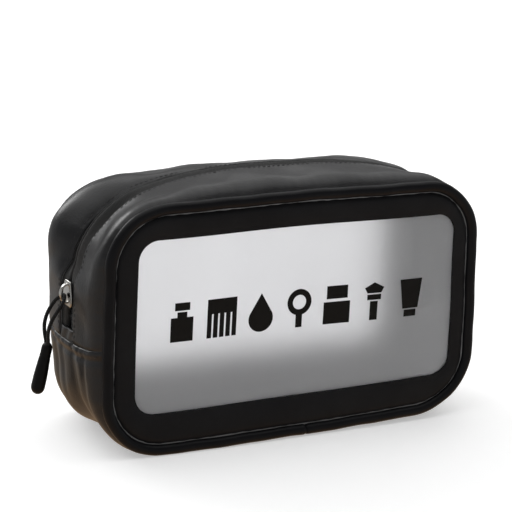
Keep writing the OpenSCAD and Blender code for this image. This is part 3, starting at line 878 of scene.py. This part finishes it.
def along_path_tree(name, seed):
    """Geometry Nodes tree that sets copies of one part along a path: inputs Part, Spacing,
    Wander and Surface."""
    tree = bpy.data.node_groups.new(name, "GeometryNodeTree")
    face = tree.interface
    face.new_socket("Geometry", in_out="INPUT", socket_type="NodeSocketGeometry")
    face.new_socket("Part", in_out="INPUT", socket_type="NodeSocketObject")
    spacing = face.new_socket("Spacing", in_out="INPUT", socket_type="NodeSocketFloat")
    spacing.default_value = 0.001
    wander = face.new_socket("Wander", in_out="INPUT", socket_type="NodeSocketFloat")
    wander.default_value = 0.05
    face.new_socket("Surface", in_out="INPUT", socket_type="NodeSocketMaterial")
    face.new_socket("Geometry", in_out="OUTPUT", socket_type="NodeSocketGeometry")

    def add(kind, **options):
        node = tree.nodes.new(kind)
        for key, value in options.items():
            setattr(node, key, value)
        return node

    start, end = add("NodeGroupInput"), add("NodeGroupOutput")
    to_curve = add("GeometryNodeMeshToCurve")
    points = add("GeometryNodeCurveToPoints", mode="LENGTH")
    info = add("GeometryNodeObjectInfo")
    place = add("GeometryNodeInstanceOnPoints")
    jitter = add("FunctionNodeRandomValue", data_type="FLOAT_VECTOR")
    low = add("ShaderNodeVectorMath", operation="SCALE")
    high = add("ShaderNodeVectorMath", operation="SCALE")
    turn = add("GeometryNodeRotateInstances")
    facing = add("FunctionNodeAxesToRotation", primary_axis="X", secondary_axis="Z")
    outward = add("GeometryNodeInputNamedAttribute", data_type="FLOAT_VECTOR")
    outward.inputs["Name"].default_value = "outward"
    real = add("GeometryNodeRealizeInstances")
    surface = add("GeometryNodeSetMaterial")
    low.inputs[0].default_value = (-1, -1, -1)
    high.inputs[0].default_value = (1, 1, 1)
    jitter.inputs["Seed"].default_value = seed
    link = tree.links.new
    link(start.outputs["Geometry"], to_curve.inputs["Mesh"])
    link(to_curve.outputs["Curve"], points.inputs["Curve"])
    link(start.outputs["Spacing"], points.inputs["Length"])
    link(points.outputs["Points"], place.inputs["Points"])
    link(start.outputs["Part"], info.inputs["Object"])
    link(info.outputs["Geometry"], place.inputs["Instance"])
    link(points.outputs["Tangent"], facing.inputs["Primary Axis"])
    link(outward.outputs[0], facing.inputs["Secondary Axis"])
    link(facing.outputs[0], place.inputs["Rotation"])
    link(start.outputs["Wander"], low.inputs["Scale"])
    link(start.outputs["Wander"], high.inputs["Scale"])
    link(low.outputs[0], jitter.inputs[0])
    link(high.outputs[0], jitter.inputs[1])
    link(place.outputs["Instances"], turn.inputs["Instances"])
    link(jitter.outputs[0], turn.inputs["Rotation"])
    link(turn.outputs["Instances"], real.inputs["Geometry"])
    link(real.outputs["Geometry"], surface.inputs["Geometry"])
    link(start.outputs["Surface"], surface.inputs["Material"])
    link(surface.outputs["Geometry"], end.inputs["Geometry"])
    return tree


def repeat_along(name, paths, part, spacing, wander, surface, tree):
    """Copies of part along each (points, outward) path, as one plain mesh object."""
    verts, edges, normals = [], [], []
    for points, outward in paths:
        first = len(verts)
        verts += [tuple(p) for p in points]
        normals += [tuple(v) for v in outward]
        edges += [(first + i, first + i + 1) for i in range(len(points) - 1)]
    mesh = bpy.data.meshes.new(name + " path")
    mesh.from_pydata(verts, edges, [])
    mesh.attributes.new("outward", "FLOAT_VECTOR", "POINT").data.foreach_set(
        "vector", np.array(normals, float).ravel())
    carrier = in_scene(name + " path", mesh)
    modifier = carrier.modifiers.new("row", "NODES")
    modifier.node_group = tree
    sockets = {i.name: i.identifier for i in tree.interface.items_tree
               if i.item_type == "SOCKET" and i.in_out == "INPUT"}
    modifier[sockets["Part"]] = part
    modifier[sockets["Spacing"]] = spacing
    modifier[sockets["Wander"]] = wander
    modifier[sockets["Surface"]] = surface
    carrier.update_tag()
    depsgraph = bpy.context.evaluated_depsgraph_get()
    depsgraph.update()
    done = bpy.data.meshes.new_from_object(carrier.evaluated_get(depsgraph))
    done.name = name
    for attribute in [a.name for a in done.attributes if a.name == "outward"]:
        done.attributes.remove(done.attributes[attribute])
    obj = in_scene(name, done)
    carrier.modifiers.clear()
    bpy.data.objects.remove(carrier)
    done.shade_smooth()
    return obj


def surface_path(side, s, y, lift):
    """Points a little above the gusset at (s, y), with its outward direction."""
    s, y = np.broadcast_arrays(np.asarray(s, float), np.asarray(y, float))
    points = soften(along_outline(s, crown_at(side * y, s) + lift, side * y))
    _, _, nx, nz = outline(s)
    step = 0.0005
    slope = (crown_at(side * y + step, s) - crown_at(side * y - step, s)) / (2 * step)
    outward = np.stack([nx, -slope, nz], axis=-1)
    return points, unit(outward)


def stitch_part():
    """One stitch of thread, 1.9 mm long, its ends sunk into the leather."""
    length, height = 0.0019, 0.00022
    t = np.linspace(-1, 1, 9)
    line = np.stack([t * length / 2, 0.00008 * np.sin(3 * t), height * (0.62 - t ** 4) - 0.00012], 1)
    radius = 0.00016 * (1 - 0.55 * t ** 6)
    return tube("stitch", line, radius, 8, (0, 1, 0), [])


def coil_part():
    """One flattened loop of the coil, its head at +Y, standing across the tape."""
    a = np.linspace(0, 2 * math.pi, 15)[:-1]
    half_l, half_h = 0.00118, 0.00082
    y = half_l * np.sign(np.cos(a)) * np.abs(np.cos(a)) ** 0.7
    z = half_h * np.sin(a) * (1 + 0.14 * np.cos(a))
    x = 0.00016 * np.cos(a)
    centre = np.stack([x, y, z], 1)
    ahead = unit(np.roll(centre, -1, 0) - np.roll(centre, 1, 0))
    side = unit(np.cross(ahead, (1.0, 0, 0)))
    other = np.cross(ahead, side)
    b = np.linspace(0, 2 * math.pi, 7)[:-1]
    rings = centre[:, None] + 0.00027 * (np.cos(b)[None, :, None] * side[:, None]
                                         + np.sin(b)[None, :, None] * other[:, None])
    return loft("coil loop", rings, closed=True)


# ---- slider ------------------------------------------------------------------

def rounded(points, radius, steps=6):
    """Rounds the corners of an outline given as (x, y) rows, counter-clockwise."""
    done = []
    count = len(points)
    for i, here in enumerate(np.asarray(points, float)):
        before, after = np.asarray(points[i - 1], float), np.asarray(points[(i + 1) % count], float)
        a, b = before - here, after - here
        la, lb = np.linalg.norm(a), np.linalg.norm(b)
        r = min(radius, 0.45 * la, 0.45 * lb)
        p, q = here + a / la * r, here + b / lb * r
        for t in np.linspace(0, 1, steps):
            done.append((1 - t) ** 2 * p + 2 * t * (1 - t) * here + t ** 2 * q)
    return np.array(done)


def end_block(name, shape, n0, n1, bevel, materials):
    """A block on the left end with rounded edges: shape is an outline of (y, z) rows about the
    slider's centre, n0 and n1 its distances from the outline of the bag."""
    middle = shape.mean(axis=0)
    size = np.abs(shape - middle).max(axis=0)
    turn = np.radians(np.linspace(0, 90, 5))
    levels = ([(n0 + bevel * (1 - math.sin(a)), bevel * (1 - math.cos(a))) for a in turn[::-1]]
              + [(n1 - bevel * (1 - math.sin(a)), bevel * (1 - math.cos(a))) for a in turn])
    rings = []
    for n, inset in levels:
        ring = middle + (shape - middle) * (1 - inset / size)
        rings.append(np.stack([np.full(len(ring), -HALF_W - n), ring[:, 0],
                               slider_mid.z + ring[:, 1]], axis=1))
    return loft(name, np.array(rings), materials=materials)


def join(name, parts):
    """Several objects made into one."""
    bm = bmesh.new()
    for part in parts:
        bm.from_mesh(part.data)
    mesh = bpy.data.meshes.new(name)
    bm.to_mesh(mesh)
    bm.free()
    for material in parts[0].data.materials:
        mesh.materials.append(material)
    mesh.shade_smooth()
    for part in parts:
        bpy.data.objects.remove(part)
    return in_scene(name, mesh)


def slider_casting(nickel):
    """Cast slider: two waisted plates, their flanges and the wedge."""
    half_w, half_l = (slider_high.y - slider_low.y) / 2, (slider_high.z - slider_low.z) / 2
    outer, inner = -slider_low.x - HALF_W, -slider_high.x - HALF_W
    plate, flange = 0.0013, 0.0009
    narrow = half_w * 0.8
    face = rounded([(-half_w, -half_l), (half_w, -half_l), (half_w, -half_l * 0.1),
                    (narrow, half_l * 0.55), (narrow * 0.82, half_l), (-narrow * 0.82, half_l),
                    (-narrow, half_l * 0.55), (-half_w, -half_l * 0.1)], 0.0028)
    at_mouth = face[:, 1] < -half_l * 0.9
    face[:, 1] += 0.0011 * bell(face[:, 0], 0, 0.0024) * at_mouth
    parts = [end_block("outer plate", face, outer - plate, outer, 0.0005, nickel),
             end_block("inner plate", face, inner, inner + plate, 0.0004, nickel)]
    tape_gap = 0.0011
    tape_level = outer - plate - 0.0006
    for side in (-1, 1):
        near = side * half_w - flange * (side > 0)
        far = side * half_w + flange * (side < 0)
        rail = rounded([(near, -half_l * 0.82), (far, -half_l * 0.82),
                        (far, half_l * 0.02), (near, half_l * 0.02)], 0.0004)
        parts.append(end_block("lower flange", rail, inner + plate * 0.7, tape_level - tape_gap,
                               0.0002, nickel))
    wedge = rounded([(0, -half_l + 0.0009), (0.0013, -half_l + 0.0028), (0.0010, -half_l + 0.0052),
                     (-0.0010, -half_l + 0.0052), (-0.0013, -half_l + 0.0028)], 0.0006)
    parts.append(end_block("wedge", wedge, inner + plate * 0.6, outer - plate * 0.6, 0.0001, nickel))
    return join("slider_casting", parts)


def slider_bail(nickel):
    """Bridge over the slider: a strip bent in an arch, its feet sunk into the outer plate."""
    foot = bridge_high.x
    rise, half_run = bridge_high.x - bridge_low.x, (bridge_high.z - bridge_low.z) / 2
    half_width = (bridge_high.y - bridge_low.y) / 2
    thick, foot_depth = 0.0011, 0.0006
    tall, long = rise - thick / 2, half_run - thick / 2
    ring = rounded([(-1, -1), (1, -1), (1, 1), (-1, 1)], 0.7, 5)
    across, deep = half_width * ring[:, 0], thick / 2 * ring[:, 1]
    rings = []
    for a in np.radians(np.linspace(-12, 192, 41)):
        slope = Vector((tall * math.cos(a), -long * math.sin(a))).normalized()
        away = Vector((-slope.y, slope.x))
        rings.append(np.stack([foot - (tall * math.sin(a) + deep * away.x), across,
                               slider_mid.z + long * math.cos(a) + deep * away.y], axis=1))
    bridge = loft("slider_bail", np.array(rings), materials=nickel)
    p = np.array([v.co for v in bridge.data.vertices])
    p[:, 0] = np.minimum(p[:, 0], foot + foot_depth)
    bridge.data.vertices.foreach_set("co", p.ravel())
    bridge.data.update()
    return bridge


def make_slider(m):
    """The slider and its bridge, which move as one."""
    nickel = [m["nickel"]]
    for obj, node in ((slider_casting(nickel), "slider_body"), (slider_bail(nickel), "slider_bridge")):
        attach(obj, "slider")
        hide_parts(node)


# ---- putting the bag together ------------------------------------------------

# Over this stretch, forwards and up from the fold line, a front piece passes from the body to
# the flap
FOLD_LINE = Vector((0, -HALF_D, SEAM_Z))
FOLD_TILT = math.radians(52.0)
FOLD_WAY = Vector((0, -math.sin(FOLD_TILT), math.cos(FOLD_TILT)))
FOLD_START = FOLD_LINE - 0.004 * FOLD_WAY
FOLD_END = FOLD_LINE + 0.044 * FOLD_WAY


def on_bag(obj, slot, *nodes):
    """For pieces of the back and the bottom."""
    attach(obj, "bag")
    if nodes:
        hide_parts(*nodes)


def on_fold(obj, slot, *nodes):
    """For front pieces that bend where the front folds forward."""
    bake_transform(obj, "bag", "flap", FOLD_START, FOLD_END)
    if nodes:
        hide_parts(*nodes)


def make_back(m):
    """Back, bottom and lower ends, with the tabs over the zip ends."""
    on_bag(zip_strip("back_zip_strip", 1, 11, m), "gusset_leather", "back_strip")
    on_bag(lower_gusset(m), "gusset_leather", "lower_gusset")
    on_bag(zip_tape("back_zip_tape", 1, 31, m), "zip_tape", "back_tape")
    on_bag(panel("back_border", 1, 51, m), "panel_leather", "back_panel")
    on_bag(film("back_film", 1, m), "film", "back_window")
    on_bag(ring_tube("back_piping_cover", 1, PIPING_R, 61, 0.02, "piping", m), "piping",
           "back_piping")
    on_bag(ring_tube("back_piping_cord", 1, CORE_R * 0.97, 61, 0.02, "core", m), "piping_core",
           "back_piping_core")
    on_bag(binding("back_seam_binding", 1, m), "binding", "back_binding")
    on_bag(join("zip_end_covers", [end_tab("left tab", True, m), end_tab("right tab", False, m)]),
           "gusset_leather", "zip_end_tabs")


def make_front(m):
    """Front, whose upper part folds forward."""
    on_fold(zip_strip("front_zip_strip", -1, 12, m), "gusset_leather",
            "front_strip_lower", "front_strip_upper")
    on_fold(zip_tape("front_zip_tape", -1, 32, m), "zip_tape",
            "front_tape_lower", "front_tape_upper")
    on_fold(panel("front_border", -1, 52, m), "panel_leather",
            "front_panel_lower", "front_panel_upper")
    on_fold(film("front_film", -1, m), "film", "front_window_lower", "front_window_upper")
    on_fold(window_motif(m), "ink", "window_motif")
    on_fold(ring_tube("front_piping_cover", -1, PIPING_R, 62, 0.008, "piping", m), "piping",
            "front_piping_lower", "front_piping_upper")
    on_fold(ring_tube("front_piping_cord", -1, CORE_R * 0.97, 62, 0.008, "core", m),
            "piping_core", "front_piping_core_lower", "front_piping_core_upper")
    on_fold(binding("front_seam_binding", -1, m), "binding",
            "front_binding_lower", "front_binding_upper")


def make_rows(m):
    """Rows of stitches beside the hems, and the loops of the two coils."""
    row = along_path_tree("parts along a path", 5)
    stitch, loop = stitch_part(), coil_part()
    from_hem = SLOT_HALF + 0.0017
    strip_end = seam_height(from_hem) + 0.001
    seam_y = np.linspace(-GUSSET_END + 0.003, GUSSET_END - 0.003, 60)
    below_seam = seam_height(seam_y) - 0.0034
    seams = [surface_path(1, end(below_seam), seam_y, 0.0) for end in (left_end_s, right_end_s)]
    coil_nodes = {"back": ["back_coil"], "front": ["front_coil_lower", "front_coil_upper"]}
    for side, place, name in ((1, on_bag, "back"), (-1, on_fold, "front")):
        s = np.linspace(right_end_s(strip_end), left_end_s(strip_end), 400)
        rows = [surface_path(side, s, from_hem, 0.00004)] + (seams if side > 0 else [])
        place(repeat_along(name + "_stitches", rows, stitch, 0.0029, 0.07, m["thread"], row),
              "gusset_leather")
        s = np.linspace(right_end_s(SEAM_Z), left_end_s(SEAM_Z), 700)
        centre = slit_half(s) + 0.00105
        path = surface_path(side, s, centre, -TAPE_SINK - TAPE_T - 0.0012)
        place(repeat_along(name + "_coil_loops", [path], loop, 0.00125, 0.0, m["coil"], row),
              "zip_coil", *coil_nodes[name])
    for part in (stitch, loop):
        bpy.data.objects.remove(part)


# ---- light and floor ---------------------------------------------------------

def area_light(name, at, toward, size, power):
    """A rectangular lamp of a size in metres and a power in watts."""
    data = bpy.data.lights.new(name, "AREA")
    data.shape, data.size, data.size_y = "RECTANGLE", size[0], size[1]
    data.energy = power
    lamp = in_scene(name, data)
    lamp.location = at
    lamp.rotation_euler = (Vector(toward) - Vector(at)).to_track_quat("-Z", "Y").to_euler()


# Colours of the surroundings, each with the height of its direction, from -1 below to 1 above
SKY = [(-0.62, (0.70, 0.46, 0.28, 1)), (-0.42, (0.50, 0.37, 0.25, 1)), (-0.27, grey(0.56)),
       (0.0, grey(0.50)), (0.30, grey(0.26)), (0.9, grey(0.24))]


def light_scene():
    """Dim surroundings, warm below, and two lamps."""
    scene = bpy.context.scene
    world = bpy.data.worlds.new("studio")
    scene.world = world
    world.use_nodes = True
    tree = world.node_tree
    height = tree.nodes.new("ShaderNodeSeparateXYZ")
    share = tree.nodes.new("ShaderNodeMapRange")
    share.inputs["From Min"].default_value = -1.0
    ramp = tree.nodes.new("ShaderNodeValToRGB")
    while len(ramp.color_ramp.elements) < len(SKY):
        ramp.color_ramp.elements.new(0.5)
    for stop, (z, colour) in zip(ramp.color_ramp.elements, SKY):
        stop.position, stop.color = (z + 1) / 2, colour
    tree.links.new(tree.nodes.new("ShaderNodeTexCoord").outputs["Generated"], height.inputs[0])
    tree.links.new(height.outputs[2], share.inputs["Value"])
    tree.links.new(share.outputs[0], ramp.inputs[0])
    tree.links.new(ramp.outputs[0], tree.nodes["Background"].inputs["Color"])
    area_light("overhead", (0.0, 0.8, 2.2), (0, 0.4, 0.0), (5.0, 4.0), 72.0)
    area_light("behind left", (-0.55, 1.45, 0.80), (-0.08, 0, 0.1), (0.8, 0.6), 7.5)
    scene.view_settings.view_transform = "Standard"


def make_floor():
    """Pale floor that curves up behind the bag."""
    profile = [(-3.0, 0.0), (1.6, 0.0)] + [(1.6 + 0.5 * math.sin(a), 0.5 - 0.5 * math.cos(a))
                                           for a in np.radians(np.linspace(9, 90, 10))]
    profile.append((2.1, 3.0))
    verts = [(x, y, z) for y, z in profile for x in (-4.0, 4.0)]
    faces = [(2 * i, 2 * i + 1, 2 * i + 3, 2 * i + 2) for i in range(len(profile) - 1)]
    n = Nodes("floor")
    n.principled({"Base Color": grey(0.8), "Roughness": 0.75, "Specular IOR Level": 0.2,
                  "Emission Color": grey(1.0), "Emission Strength": 0.4})
    floor = new_object("floor", verts, faces, [n.material])
    floor.visible_glossy = False
    floor.data.shade_smooth()


materials = make_materials()
make_cord(materials)
make_grip(materials)
make_slider(materials)
make_back(materials)
make_front(materials)
make_rows(materials)
light_scene()
make_floor()
